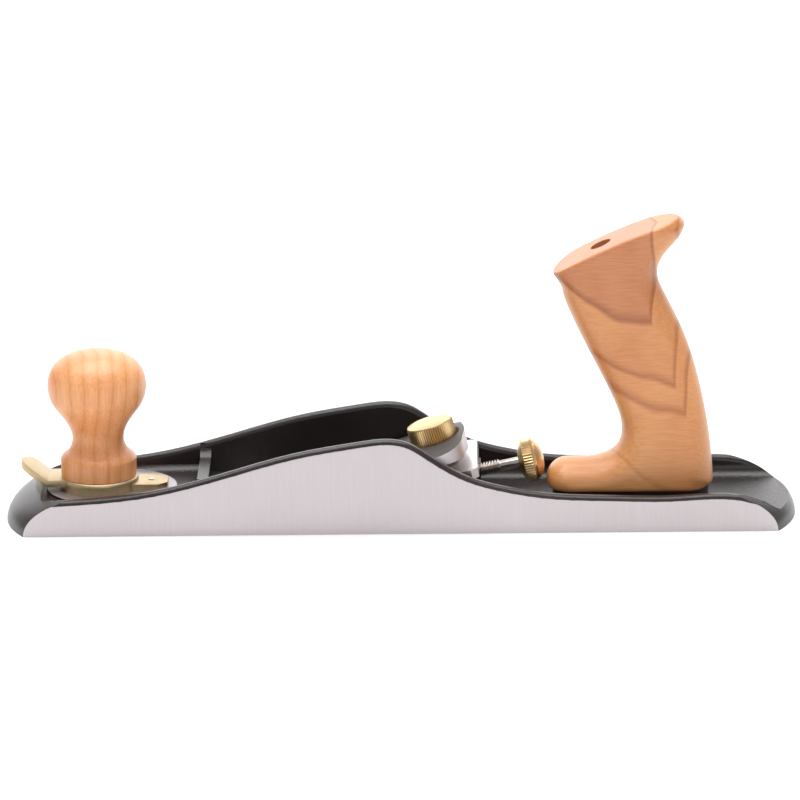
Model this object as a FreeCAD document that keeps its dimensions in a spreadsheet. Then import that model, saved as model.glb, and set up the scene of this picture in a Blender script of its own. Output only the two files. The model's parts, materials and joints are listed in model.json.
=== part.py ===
import FreeCAD, Part
import math
import os
from FreeCAD import Placement, Rotation, Vector

# A low-angle, bevel-up jack plane, in millimetres. +X runs from the toe to the heel, +Z is up,
# and the origin is the middle of the sole, on the surface that the plane rests on.

doc = FreeCAD.newDocument("hand_plane")
sheet = doc.addObject("Spreadsheet::Sheet", "sizes")

SIZES = {
    # casting
    "sole_length": 355.6, "sole_width": 69.85, "end_radius": 69.8, "wall": 5.5, "floor_top": 7.5,
    "deck_top": 12.5, "crest_round": 2.2, "trough_fillet": 5.0, "nose_reach": 34.0, "nose_rise": 19.0,
    "peak_at": -3.2, "peak_top": 43.1, "toe_crest": 16.2, "heel_crest": 15.7,
    "rib_front": -91.5, "rib_thick": 5.0, "rib_top": 18.8, "rib_flare": 6.0,
    "spot_at": -130.2, "spot_radius": 29.2, "spot_top": 13.5,
    # bed, measured along and square to its slope from the mouth
    "mouth_at": -72.0, "bed_angle": 12.0, "mouth_lip": 3.0, "ramp_end": 57.0,
    "rest_start": 75.0, "rest_end": 92.0, "post_start": 103.0, "post_end": 110.5, "post_width": 17.0,
    # sliding toe plate
    "plate_front": -156.0, "plate_gap": 2.6, "plate_width": 54.0, "plate_thick": 5.0,
    "key_length": 20.0, "key_width": 13.0, "key_top": 12.9,
    "slide_open": 2.2, "slide_shut": 1.3, "slide_play": 0.1,
    # front knob, its stud and bush
    "knob_at": -136.0, "knob_seat": 19.0, "knob_foot_radius": 17.1, "knob_foot": 8.0,
    "knob_waist_radius": 11.6, "knob_radius": 22.2, "knob_ball_rise": 41.0, "knob_dome_power": 2.4,
    "knob_height": 57.5,
    "stud_radius": 3.97, "stud_bottom": 0.8, "stud_top": 42.0, "bush_radius": 7.0, "bush_length": 26.0,
    # mouth lever
    "pivot_at": -112.5, "pivot_radius": 1.2, "ring_radius": 17.8, "lever_thick": 3.0,
    "arm_width": 20.0, "arm_bend_at": -158.5, "arm_rise": 38.0, "arm_tip": 15.0, "arm_skew": 16.0,
    "arm_corner": 5.0, "arm_height": 40.0, "tab_width": 18.0, "tab_end": -105.0, "tab_corner": 4.0,
    "ring_round": 1.6, "cam_rate": 8.83, "cam_open": 16.0, "cam_shut": 10.0,
    # blade
    "blade_width": 50.8, "blade_thick": 4.45, "blade_start": 1.0, "blade_end": 109.9, "bevel_angle": 25.0,
    "slot_width": 11.2, "slot_start": 34.0, "slot_end": 72.0, "groove_width": 2.6, "groove_depth": 1.8,
    "groove_pitch": 6.0, "groove_span": 26.0, "blade_clip": 3.0, "edge_land": 0.05,
    # lever cap
    "cap_front": 15.0, "cap_end": 106.8, "cap_width": 50.0, "cap_under": 9.0, "cap_top": 16.4,
    "cap_slope": 4.5, "cap_crown": 105.0, "cap_corner": 14.0, "cap_bow": 1.2, "cap_nose": 1.2, "cap_pad": 6.0,
    "boss_radius": 9.0, "recess_radius": 12.2, "recess_depth": 2.4,
    "screw_at": 45.0, "screw_radius": 3.175, "screw_head_radius": 5.3, "screw_head_thick": 3.0,
    "seat_height": 10.6, "cap_travel": 12.0, "screw_depth": 7.0, "slot_gap": 1.2, "slot_deep": 1.4,
    # cap wheel
    "wheel_at": 92.4, "wheel_radius": 10.6, "wheel_thick": 4.4, "wheel_lift": 3.4, "wheel_screw_radius": 3.97,
    # depth adjuster
    "spindle_radius": 3.175, "spindle_gap": 0.275, "collar_at": 97.0, "collar_thick": 2.4,
    "collar_radius": 5.0, "thread_end": 119.6, "shank_radius": 2.38, "dial_start": 127.6,
    "dial_thick": 11.2, "dial_radius": 9.9, "dial_rim": 4.0, "cross_pin_radius": 0.8,
    # rear tote
    "tote_front": 66.1, "tote_back": 141.2, "tote_seat": 12.6, "pad_inset": 2.5, "tote_thick": 30.0,
    "tote_top": 137.5, "rod_top_at": 90.4, "rod_top": 123.2, "rod_foot_at": 118.0, "rod_radius": 2.78,
    "rod_root": 8.0,
    "nut_radius": 4.75, "nut_sleeve_radius": 3.9, "nut_head": 4.0, "nut_sleeve": 22.0, "nut_sunk": 4.0,
    "nut_slot_gap": 1.4, "nut_slot_deep": 1.6,
    "dowel_at": 76.0, "dowel_radius": 2.4, "dowel_half": 6.0,
    # clearances
    "running": 0.05, "loose": 0.3, "seat_gap": 0.05, "cam_play": 0.15,
}

# tiny slack when picking edges, and how deep blocks that stand in the floor reach down into it
TINY = 0.01
ROOT = 1.0


def fill_sheet():
    for row, (alias, value) in enumerate(SIZES.items(), start=1):
        sheet.set("A%d" % row, alias)
        sheet.set("B%d" % row, str(value))
        sheet.setAlias("B%d" % row, alias)
    doc.recompute()


def size(alias):
    return float(sheet.get(alias))


fill_sheet()
PIECES = []


def bind(thing, **links):
    """Tie properties of an object to expressions over the sheet's names."""
    for prop, words in links.items():
        thing.setExpression(prop, words)
    return thing


def keep(thing, label):
    thing.Label = label
    PIECES.append(thing)
    return thing


def primitive(kind, label, place=None, **links):
    thing = doc.addObject("Part::" + kind, label)
    bind(thing, **links)
    if place is not None:
        thing.Placement = place
    return thing


def boolean(kind, label, base, tool):
    thing = doc.addObject("Part::" + kind, label)
    thing.Base = base
    thing.Tool = tool
    return thing


def feature(label, shape, place=None):
    thing = doc.addObject("Part::Feature", label)
    thing.Shape = shape
    if place is not None:
        thing.Placement = place
    return thing


def spline(points, start=None, end=None):
    curve = Part.BSplineCurve()
    spots = [Vector(*point) for point in points]
    if start is None:
        curve.interpolate(spots)
    else:
        curve.interpolate(Points=spots, InitialTangent=Vector(*start), FinalTangent=Vector(*end))
    return curve.toShape()


def line(first, second):
    return Part.makeLine(Vector(*first), Vector(*second))


def arc(first, middle, last):
    return Part.Arc(Vector(*first), Vector(*middle), Vector(*last)).toShape()


def side(x, z):
    """A point of a side outline, which lies in the upright plane down the middle of the plane."""
    return (x, 0, z)


def across(face, width):
    """A solid with this side outline, as wide as said, half to each side."""
    solid = face.extrude(Vector(0, width, 0))
    solid.translate(Vector(0, -width / 2, 0))
    return solid


def side_polygon(points):
    spots = [Vector(x, 0, z) for x, z in points]
    return Part.Face(Part.makePolygon(spots + spots[:1]))


def block(x0, x1, half_width, z0, z1):
    return Part.makeBox(x1 - x0, 2 * half_width, z1 - z0, Vector(x0, -half_width, z0))


def bed_place():
    """The bed's own frame: x climbs the slope from the mouth, z stands square to the slope."""
    turn = Rotation(Vector(0, 1, 0), -size("bed_angle"))
    return Placement(Vector(size("mouth_at"), 0, 0), turn)


def along_bed(distance, height):
    return bed_place().multVec(Vector(distance, 0, height))


def crest_face():
    """Side outline of the casting: low toe, hump beside the blade, long low run to the heel."""
    half = size("sole_length") / 2
    peak = size("peak_at")
    top = size("peak_top")
    toe = size("toe_crest")
    heel = size("heel_crest")
    lip = size("floor_top") + 0.3
    rise = top - toe
    fall = top - heel
    span = half - 28 + peak
    crest = spline(
        [side(-half, toe - 1.2), side(28 - half, toe), side(peak - 0.75 * span, toe + 0.13 * rise),
         side(peak - 0.51 * span, toe + 0.45 * rise), side(peak - 0.29 * span, toe + 0.78 * rise),
         side(peak - 0.10 * span, toe + 0.96 * rise), side(peak, top), side(peak + 8, top - 0.075 * fall),
         side(peak + 14.5, top - 0.22 * fall), side(peak + 33.5, top - 0.63 * fall),
         side(peak + 49, top - 0.80 * fall), side(peak + 69, top - 0.925 * fall), side(peak + 97, heel + 0.7),
         side(peak + 125, heel + 0.3), side(half - 22, heel - 0.5), side(half - 14, heel - 3.4),
         side(half - 6, lip)],
        (1, 0, 0.03), (1, 0, -0.6))
    edges = [crest, line(side(half - 6, lip), side(half, lip)), line(side(half, lip), side(half, 0)),
             line(side(half, 0), side(-half, 0)), line(side(-half, 0), side(-half, toe - 1.2))]
    return Part.Face(Part.Wire(edges))


def side_wall(sign):
    """One side wall, with its crest rounded along both edges."""
    wall = across(crest_face(), size("wall"))
    wall.translate(Vector(0, sign * (size("sole_width") - size("wall")) / 2, 0))
    crest = [edge for edge in wall.Edges
             if edge.BoundBox.YLength < TINY and edge.BoundBox.ZMax > size("peak_top") - 1]
    return wall.makeFillet(size("crest_round"), crest)


def plan_solid(height):
    """The casting's outline from above: straight sides and ends drawn with one large radius."""
    half = size("sole_length") / 2
    radius = size("end_radius")
    half_width = size("sole_width") / 2
    corner = half - radius + math.sqrt(radius ** 2 - half_width ** 2)
    edges = [line((-corner, -half_width, 0), (corner, -half_width, 0)),
             arc((corner, -half_width, 0), (half, 0, 0), (corner, half_width, 0)),
             line((corner, half_width, 0), (-corner, half_width, 0)),
             arc((-corner, half_width, 0), (-half, 0, 0), (-corner, -half_width, 0))]
    return Part.Face(Part.Wire(edges)).extrude(Vector(0, 0, height))


def end_round(direction):
    """The waste outside the rounded end: an elliptical quarter round turned about the end's centre."""
    radius = size("end_radius")
    centre = direction * (size("sole_length") / 2 - radius)
    inner = radius - size("nose_reach")
    rise = size("nose_rise")
    ellipse = Part.Ellipse(Vector(inner, 0, 0), size("nose_reach"), rise)
    ellipse.Axis = Vector(0, -1, 0)
    curve = Part.ArcOfEllipse(ellipse, 0, math.pi / 2).toShape()
    ends = sorted((v.Point for v in curve.Vertexes), key=lambda spot: spot.z)
    top = 60.0
    edges = [curve, Part.makeLine(ends[1], Vector(inner, 0, top)),
             Part.makeLine(Vector(inner, 0, top), Vector(radius + 5, 0, top)),
             Part.makeLine(Vector(radius + 5, 0, top), Vector(radius + 5, 0, 0)),
             Part.makeLine(Vector(radius + 5, 0, 0), ends[0])]
    waste = Part.Face(Part.Wire(Part.__sortEdges__(edges))).revolve(Vector(0, 0, 0), Vector(0, 0, 1), 130)
    waste.rotate(Vector(0, 0, 0), Vector(0, 0, 1), -65 if direction > 0 else 115)
    waste.translate(Vector(centre, 0, 0))
    return waste


def rounded_trough(x0, x1, floor, end_fillet):
    """The space between the side walls, with a fillet where the walls meet the floor."""
    half = size("sole_width") / 2 - size("wall")
    space = block(x0, x1, half, floor, 70)
    chosen = []
    for edge in space.Edges:
        box = edge.BoundBox
        low = box.ZMax < floor + TINY
        at_end = end_fillet and box.XMax < x0 + TINY
        if low and (box.XLength > 1 or at_end):
            chosen.append(edge)
        if at_end and box.ZLength > 1:
            chosen.append(edge)
    return space.makeFillet(size("trough_fillet"), chosen)


def upright_outline(top):
    """Side outline of a block that stands in the floor and has these two points as its top."""
    first, last = top
    return side_polygon([(first.x, ROOT), (first.x, first.z), (last.x, last.z), (last.x, ROOT)])


def bed_blocks():
    """The sloped ramp behind the mouth, the rest under the blade's back and the adjuster's post."""
    half = size("sole_width") / 2 - size("wall") + 0.5
    lip = along_bed(size("mouth_lip") / math.cos(math.radians(size("bed_angle"))), 0)
    ramp_end = along_bed(size("ramp_end"), 0)
    ramp = across(side_polygon([(lip.x, 0), (lip.x, lip.z), (ramp_end.x, ramp_end.z), (ramp_end.x, 0)]),
                  2 * half)
    rest = [along_bed(size("rest_start"), 0), along_bed(size("rest_end"), 0)]
    cross_bar = across(upright_outline(rest), 2 * half)
    post_top = [along_bed(size("post_start"), -size("loose")), along_bed(size("post_end"), -size("loose"))]
    post = across(upright_outline(post_top), size("post_width"))
    return [ramp, cross_bar, post]


def spindle_drop():
    """How far below the bed the adjuster's axis runs, so that its thread clears the blade."""
    return size("spindle_radius") + size("spindle_gap")


def casting_cuts():
    """Everything that is machined out of the casting after it is cast."""
    travel_front = size("slide_open") + size("loose")
    half_plate = size("plate_width") / 2 + size("slide_play")
    lip = along_bed(size("mouth_lip") / math.cos(math.radians(size("bed_angle"))), 0)
    window = block(size("plate_front") - travel_front, lip.x, half_plate,
                   -1, size("plate_thick") + size("slide_play"))
    key_half = size("key_length") / 2
    slot = block(size("knob_at") - key_half - travel_front,
                 size("knob_at") + key_half + size("slide_shut") + size("loose"),
                 size("key_width") / 2 + size("slide_play"), 0, 30)
    bed = block(0, size("ramp_end"), size("blade_width") / 2 + 1.2, 0, 60)
    bed.Placement = bed_place()
    throat = block(size("rib_front") + size("rib_thick"), lip.x, half_plate, -1, size("deck_top") + 20)
    pivot = Part.makeCylinder(size("pivot_radius"), 8, Vector(size("pivot_at"), 0, size("spot_top") - 6))
    square = along_bed(0, 1) - along_bed(0, 0)
    screw = Part.makeCylinder(size("screw_radius") + size("running"), size("screw_depth") + 10,
                              along_bed(size("screw_at"), -size("screw_depth")), square)
    direction = along_bed(1, 0) - along_bed(0, 0)
    spindle = Part.makeCylinder(size("spindle_radius") + size("running"), 14,
                                along_bed(size("post_start") - 3, -spindle_drop()), direction)
    foot, up = rod_line()
    rod = Part.makeCylinder(size("rod_radius"), 30, foot - up * (size("rod_root") + 0.5), up)
    dowel_foot = Vector(size("dowel_at"), 0, size("tote_seat") - size("dowel_half"))
    dowel = Part.makeCylinder(size("dowel_radius"), 2 * size("dowel_half"), dowel_foot)
    return [window, slot, throat, bed, pivot, screw, spindle, rod, dowel]


def rod_line():
    """Where the tote's rod leaves the seat, and the direction it leans."""
    foot = Vector(size("rod_foot_at"), 0, size("tote_seat"))
    up = Vector(size("rod_top_at"), 0, size("rod_top")) - foot
    up.normalize()
    return foot, up


def tote_seat_pad():
    front = size("tote_front") + size("pad_inset")
    back = size("tote_back") - size("pad_inset")
    half = size("tote_thick") / 2 - size("pad_inset")
    raised = block(front, back, half, ROOT, size("tote_seat"))
    corners = [edge for edge in raised.Edges if edge.BoundBox.ZLength > 1]
    return raised.makeFillet(0.8 * half, corners)


def cross_rib():
    """The low wall across the throat, flared where it runs into the side walls."""
    half = size("sole_width") / 2 - size("wall") + 0.5
    front = size("rib_front")
    thick = size("rib_thick")
    top = size("rib_top")
    flare = size("rib_flare")
    belly = 0.3 * flare
    foot = size("floor_top") - 1.5
    right = (front, half - flare, top)
    left = (front, flare - half, top)
    right_end = (front, half, top + flare)
    left_end = (front, -half, top + flare)
    wire = [line(left, right), arc(right, (front, half - belly, top + belly), right_end),
            line(right_end, (front, half, foot)), line((front, half, foot), (front, -half, foot)),
            line((front, -half, foot), left_end),
            arc(left_end, (front, belly - half, top + belly), left)]
    return Part.Face(Part.Wire(wire)).extrude(Vector(thick, 0, 0))


def body_casting():
    half = size("sole_length") / 2
    inner = size("sole_width") / 2 - size("wall")
    middle = block(-half, half, inner, 0, size("toe_crest") - 1.2).common(across(crest_face(), 2 * inner + 2))
    middle = middle.cut(rounded_trough(16 - half, size("rib_front") + 1, size("deck_top"), True))
    middle = middle.cut(rounded_trough(size("rib_front") + 1, half + 10, size("floor_top"), False))
    solid = middle.fuse([side_wall(-1), side_wall(1)]).common(plan_solid(60))
    spot = Part.makeCylinder(size("spot_radius"), size("spot_top") - 2, Vector(size("spot_at"), 0, 2))
    solid = solid.fuse(bed_blocks() + [cross_rib(), tote_seat_pad(), spot])
    clear = Part.makeCylinder(size("spot_radius"), 30, Vector(size("spot_at"), 0, size("spot_top")))
    solid = solid.cut(clear.common(block(-half, 0, inner, 0, 60)))
    solid = solid.cut(casting_cuts())
    solid = solid.cut([end_round(-1), end_round(1)])
    return keep(feature("body_casting", solid.removeSplitter()), "body_casting")


def body(label):
    thing = doc.addObject("PartDesign::Body", label)
    return thing


def sketch_on(owner, role, name, edges, lift=0.0):
    """A sketch on one of the body's own origin planes, with its lines already placed."""
    drawn = owner.newObject("Sketcher::SketchObject", name)
    plane = [item for item in owner.Origin.OriginFeatures if item.Role == role][0]
    drawn.AttachmentSupport = (plane, [""])
    drawn.MapMode = "FlatFace"
    drawn.AttachmentOffset = Placement(Vector(0, 0, lift), Rotation())
    drawn.addGeometry(edges, False)
    return drawn


def flat(points):
    """Closed run of straight sketch lines through these points."""
    spots = [Vector(x, y, 0) for x, y in points]
    return [Part.LineSegment(a, b) for a, b in zip(spots, spots[1:] + spots[:1])]


def box_lines(x0, x1, half):
    return flat([(x0, -half), (x1, -half), (x1, half), (x0, half)])


def slot_lines(x0, x1, half):
    """A slot with round ends whose centres are at x0 and x1."""
    return [Part.LineSegment(Vector(x0, -half, 0), Vector(x1, -half, 0)),
            Part.Arc(Vector(x1, -half, 0), Vector(x1 + half, 0, 0), Vector(x1, half, 0)),
            Part.LineSegment(Vector(x1, half, 0), Vector(x0, half, 0)),
            Part.Arc(Vector(x0, half, 0), Vector(x0 - half, 0, 0), Vector(x0, -half, 0))]


def round_line(x, y, radius):
    return [Part.Circle(Vector(x, y, 0), Vector(0, 0, 1), radius)]


def pad(owner, name, profile, words):
    thing = owner.newObject("PartDesign::Pad", name)
    thing.Profile = profile
    thing.setExpression("Length", words)
    return thing


def pocket(owner, name, profile, words, upwards=False):
    thing = owner.newObject("PartDesign::Pocket", name)
    thing.Profile = profile
    thing.setExpression("Length", words)
    thing.Reversed = upwards
    return thing


def toe_plate():
    plate = body("toe_plate")
    back = size("mouth_at") - size("plate_gap")
    outline = sketch_on(plate, "XY_Plane", "plate_outline",
                        box_lines(size("plate_front"), back, size("plate_width") / 2))
    pad(plate, "plate", outline, "sizes.plate_thick")
    key_half = size("key_length") / 2
    key = sketch_on(plate, "XY_Plane", "key_outline",
                    slot_lines(size("knob_at") - key_half + size("key_width") / 2,
                               size("knob_at") + key_half - size("key_width") / 2, size("key_width") / 2))
    pad(plate, "key", key, "sizes.key_top")
    hole = sketch_on(plate, "XY_Plane", "stud_hole", round_line(size("knob_at"), 0, size("stud_radius")),
                     size("stud_bottom"))
    pocket(plate, "stud_bore", hole, "sizes.key_top", upwards=True)
    return keep(plate, "toe_plate")


def upright(x, z):
    return Placement(Vector(x, 0, z), Rotation())


def knob_stud():
    stud = primitive("Cylinder", "knob_stud", upright(size("knob_at"), size("stud_bottom")),
                     Radius="sizes.stud_radius", Height="sizes.stud_top - sizes.stud_bottom")
    return keep(stud, "knob_stud")


def knob_insert():
    sleeve = primitive("Cylinder", "insert_sleeve", upright(size("knob_at"), size("knob_seat")),
                       Radius="sizes.bush_radius", Height="sizes.bush_length")
    bore = primitive("Cylinder", "insert_bore", upright(size("knob_at"), size("knob_seat") - 1),
                     Radius="sizes.stud_radius + sizes.running",
                     Height="sizes.stud_top - sizes.knob_seat + 1 + sizes.loose")
    return keep(boolean("Cut", "knob_insert", sleeve, bore), "knob_insert")


# The knob's outline in shares: from the waist out to the foot, from the waist out to the ball,
# and then angles round the dome.
KNOB_COVE = [(1.0, 0.0), (0.93, 0.025), (0.72, 0.065), (0.36, 0.115), (0.08, 0.205), (0.0, 0.29)]
KNOB_SWELL = [(0.04, 0.375), (0.165, 0.475), (0.46, 0.62), (0.77, 0.755), (0.94, 0.88), (1.0, 1.0)]
KNOB_DOME = (12, 25, 38, 50, 61, 71, 80)


def front_knob():
    """Turned hardwood: a plain foot, a hollow waist and a ball-shaped top."""
    foot = size("knob_foot_radius")
    waist = size("knob_waist_radius")
    ball = size("knob_radius")
    rise = size("knob_foot")
    tall = size("knob_height")
    ball_rise = size("knob_ball_rise")
    spots = [(waist + (foot - waist) * out, rise + (ball_rise - rise) * up) for out, up in KNOB_COVE]
    spots += [(waist + (ball - waist) * out, rise + (ball_rise - rise) * up) for out, up in KNOB_SWELL]
    dome = tall - ball_rise
    power = 2 / size("knob_dome_power")
    for degrees in KNOB_DOME:
        turn = math.radians(degrees)
        spots.append((ball * math.cos(turn) ** power, ball_rise + dome * math.sin(turn) ** power))
    spots.append((0, tall))
    curve = spline([(radius, 0, height) for radius, height in spots])
    edges = [line((0, 0, 0), (foot - 0.2, 0, 0)), line((foot - 0.2, 0, 0), (foot, 0, rise)), curve,
             line((0, 0, tall), (0, 0, 0))]
    solid = Part.Face(Part.Wire(edges)).revolve(Vector(0, 0, 0), Vector(0, 0, 1), 360)
    solid = solid.cut(Part.makeCylinder(size("bush_radius"), size("bush_length")))
    return keep(feature("front_knob", solid, upright(size("knob_at"), size("knob_seat"))), "front_knob")


def cam_slot():
    """Spiral slot in the lever: as the lever swings, the stud is drawn along the plane."""
    reach = size("pivot_at") - size("knob_at")
    half = size("stud_radius") + size("cam_play")
    inner = []
    outer = []
    steps = 8
    for step in range(steps + 1):
        swing = -size("cam_open") + step * (size("cam_open") + size("cam_shut")) / steps
        angle = math.pi - math.radians(swing)
        radius = reach - size("cam_rate") * math.radians(swing)
        spread = half / math.cos(math.atan(size("cam_rate") / radius))
        for ring, away in ((inner, radius - spread), (outer, radius + spread)):
            ring.append((size("pivot_at") + away * math.cos(angle), away * math.sin(angle), 0))
    height = size("knob_seat") + 5
    edges = [spline(inner), line(inner[-1], outer[-1]), spline(outer), line(outer[0], inner[0])]
    slot = Part.Face(Part.Wire(Part.__sortEdges__(edges))).extrude(Vector(0, 0, height))
    for ring in (0, -1):
        middle = [(a + b) / 2 for a, b in zip(inner[ring], outer[ring])]
        slot = slot.fuse(Part.makeCylinder(spread, height, Vector(*middle)))
    return slot.removeSplitter()


def finger_rest(top):
    """The lever's arm: flat out to its bend, then turned up, with a skewed end and rounded corners."""
    thick = size("lever_thick")
    middle = size("knob_at")
    bend = size("arm_bend_at")
    rise = math.radians(size("arm_rise"))
    tip_x = bend - size("arm_tip") * math.cos(rise)
    tip_z = top + size("arm_tip") * math.sin(rise)
    lean = thick * math.sin(rise)
    drop = thick * math.cos(rise)
    strip = across(side_polygon([(middle, top), (bend, top), (tip_x, tip_z), (tip_x - lean, tip_z - drop),
                                 (bend - lean / 2, top - thick), (middle, top - thick)]),
                   size("arm_width"))
    reach = size("arm_width") / 2
    end = tip_x - lean
    skewed_end = end + 2 * reach * math.tan(math.radians(size("arm_skew")))
    spots = [Vector(end, -reach, 0), Vector(middle, -reach, 0), Vector(middle, reach, 0),
             Vector(skewed_end, reach, 0)]
    blank = Part.Face(Part.makePolygon(spots + spots[:1])).extrude(Vector(0, 0, size("arm_height")))
    tips = [edge for edge in blank.Edges if edge.BoundBox.ZLength > 1 and edge.BoundBox.XMax < bend]
    return strip.common(blank.makeFillet(size("arm_corner"), tips))


def mouth_lever():
    """Brass lever: a ring round the stud, a tab back to the pivot and an upturned finger rest."""
    base = size("spot_top") + size("seat_gap")
    thick = size("lever_thick")
    seat = size("knob_seat") - size("seat_gap")
    ring = Part.makeCylinder(size("ring_radius"), seat - base, Vector(size("knob_at"), 0, base))
    rims = [edge for edge in ring.Edges
            if abs(edge.BoundBox.ZMin - seat) < TINY and edge.BoundBox.XLength > 1]
    ring = ring.makeFillet(size("ring_round"), rims)
    tab = block(size("knob_at"), size("tab_end"), size("tab_width") / 2, base, base + thick)
    clipped = [edge for edge in tab.Edges
               if edge.BoundBox.ZLength > 1 and edge.BoundBox.XMin > size("tab_end") - TINY]
    tab = tab.makeChamfer(size("tab_corner"), clipped)
    solid = ring.fuse([tab, finger_rest(seat)]).cut(cam_slot())
    pivot = Part.makeCylinder(size("pivot_radius") + size("running"), 20,
                              Vector(size("pivot_at"), 0, base - 5))
    solid = solid.cut(pivot).removeSplitter()
    return keep(feature("mouth_lever", solid), "mouth_lever")


def lever_pivot_pin():
    pin = primitive("Cylinder", "lever_pivot_pin", upright(size("pivot_at"), size("spot_top") - 6),
                    Radius="sizes.pivot_radius", Height="6 + sizes.lever_thick + sizes.loose")
    return keep(pin, "lever_pivot_pin")


def blade():
    """Thick steel blade, ground with its bevel on top, slotted for the cap's screw."""
    iron = body("blade")
    half = size("blade_width") / 2
    rise = size("blade_thick")
    run = rise / math.tan(math.radians(size("bevel_angle")))
    start = size("blade_start")
    end = size("blade_end")
    clip = size("blade_clip")
    edge_land = size("edge_land")
    outline = sketch_on(iron, "XY_Plane", "blade_outline",
                        flat([(start, -half), (end - clip, -half), (end, clip - half), (end, half - clip),
                              (end - clip, half), (start, half)]))
    pad(iron, "blade_stock", outline, "sizes.blade_thick")
    long_slot = sketch_on(iron, "XY_Plane", "slot_outline",
                          slot_lines(size("slot_start"), size("slot_end"), size("slot_width") / 2), -1)
    pocket(iron, "screw_slot", long_slot, "sizes.blade_thick + 2", upwards=True)
    middle = size("collar_at")
    reach = size("groove_width") / 2
    for number in range(-2, 2):
        spot = middle + number * size("groove_pitch")
        groove = sketch_on(iron, "XY_Plane", "groove_outline_%d" % (number + 2),
                           box_lines(spot - reach, spot + reach, size("groove_span") / 2), -1)
        pocket(iron, "groove_%d" % (number + 2), groove, "sizes.groove_depth + 1", upwards=True)
    waste = sketch_on(iron, "XZ_Plane", "bevel_outline",
                      flat([(start, edge_land), (start + run, rise + edge_land),
                            (start - 5, rise + edge_land), (start - 5, edge_land)]))
    bevel = iron.newObject("PartDesign::Pocket", "bevel")
    bevel.Profile = waste
    bevel.Midplane = True
    bevel.setExpression("Length", "sizes.blade_width + 2")
    iron.Placement = bed_place()
    return keep(iron, "blade")


def cap_outline(height):
    """The cap from above: straight sides and a broad rounded back."""
    half = size("cap_width") / 2
    front = size("cap_front")
    end = size("cap_end")
    corner = size("cap_corner")
    turn = corner * (1 - math.sqrt(0.5))
    bow = size("cap_bow")
    shoulder = end - turn - bow / 2
    edges = [line((front, -half, 0), (end - corner, -half, 0)),
             arc((end - corner, -half, 0), (shoulder, turn - half, 0), (end - bow, corner - half, 0)),
             arc((end - bow, corner - half, 0), (end, 0, 0), (end - bow, half - corner, 0)),
             arc((end - bow, half - corner, 0), (shoulder, half - turn, 0), (end - corner, half, 0)),
             line((end - corner, half, 0), (front, half, 0)), line((front, half, 0), (front, -half, 0))]
    return Part.Face(Part.Wire(edges)).extrude(Vector(0, 0, height))


def wheel_place():
    """The cap wheel's frame: its foot is on the cap's top and its axis square to that top."""
    foot = along_bed(size("wheel_at"), size("cap_top"))
    return Placement(foot, Rotation(Vector(0, 1, 0), -size("bed_angle") - size("cap_slope")))


def lever_cap():
    """Domed iron cap: it bears on the blade at its nose and is hollow behind."""
    top = size("cap_top")
    slope = size("cap_slope")
    under = size("cap_under")
    front = size("cap_front")
    radius = size("cap_crown")
    axis = Vector(math.cos(math.radians(slope)), 0, math.sin(math.radians(slope)))
    square = Vector(-axis.z, 0, axis.x)
    middle = Vector(size("wheel_at"), 0, top)
    dome = Part.makeCylinder(radius, 260, middle - square * radius - axis * 150, axis)
    solid = cap_outline(40).common(dome)
    rest = size("blade_thick") + size("seat_gap")
    bearing = size("cap_pad")
    hollow = side_polygon([(front - 5, -5), (front - 5, rest), (front + bearing, rest),
                           (front + 2 * bearing, under), (size("cap_end") + 5, under),
                           (size("cap_end") + 5, -5)])
    solid = solid.cut(across(hollow, size("cap_width") + 4))
    nose = side_polygon([(front - 1, rest + size("cap_nose")), (front + 1.5 * bearing, under + 2),
                         (front - 1, under + 2)])
    solid = solid.cut(across(nose, size("cap_width") + 4))
    seat = size("seat_height")
    screw = size("screw_at")
    wide = size("screw_head_radius") + 0.9
    open_end = screw - size("cap_travel")
    spread = block(open_end, screw, wide, seat, 40)
    ends = [Part.makeCylinder(wide, 40, Vector(spot, 0, seat)) for spot in (screw, open_end)]
    solid = solid.cut([spread] + ends)
    narrow = size("screw_radius") + 0.25
    key = block(open_end, screw, narrow, 0, 40)
    round_end = Part.makeCylinder(narrow, 40, Vector(screw, 0, 0))
    big_end = Part.makeCylinder(size("screw_head_radius") + 0.4, 40, Vector(open_end, 0, 0))
    solid = solid.cut([key, round_end, big_end])
    boss = Part.makeCylinder(size("boss_radius"), top - rest - 3, Vector(size("wheel_at"), 0, rest + 1.6))
    solid = solid.fuse(boss)
    place = bed_place()
    local = place.inverse().multiply(wheel_place())
    recess = Part.makeCylinder(size("recess_radius"), 20, Vector(0, 0, -size("recess_depth")))
    thread = Part.makeCylinder(size("wheel_screw_radius") + size("running"), 60, Vector(0, 0, -30))
    for tool in (recess, thread):
        tool.Placement = local.multiply(tool.Placement)
        solid = solid.cut(tool)
    solid = solid.removeSplitter()
    return keep(feature("lever_cap", solid, place), "lever_cap")


def lever_cap_screw():
    shank = primitive("Cylinder", "cap_screw_shank", None, Radius="sizes.screw_radius",
                      Height="sizes.screw_depth + sizes.seat_height + 0.5")
    head = primitive("Cylinder", "cap_screw_head", None, Radius="sizes.screw_head_radius",
                     Height="sizes.screw_head_thick")
    slot = primitive("Box", "cap_screw_slot", None, Length="2.4 * sizes.screw_head_radius",
                     Width="sizes.slot_gap", Height="sizes.screw_head_thick")
    lift = size("seat_height") + size("seat_gap")
    turn = bed_place().Rotation
    shank.Placement = Placement(along_bed(size("screw_at"), -size("screw_depth")), turn)
    head.Placement = Placement(along_bed(size("screw_at"), lift), turn)
    corner = along_bed(size("screw_at") - 1.2 * size("screw_head_radius"),
                       lift + size("screw_head_thick") - size("slot_deep"))
    slot.Placement = Placement(corner - Vector(0, size("slot_gap") / 2, 0), turn)
    whole = boolean("Fuse", "cap_screw_blank", shank, head)
    return keep(boolean("Cut", "lever_cap_screw", whole, slot), "lever_cap_screw")


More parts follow.
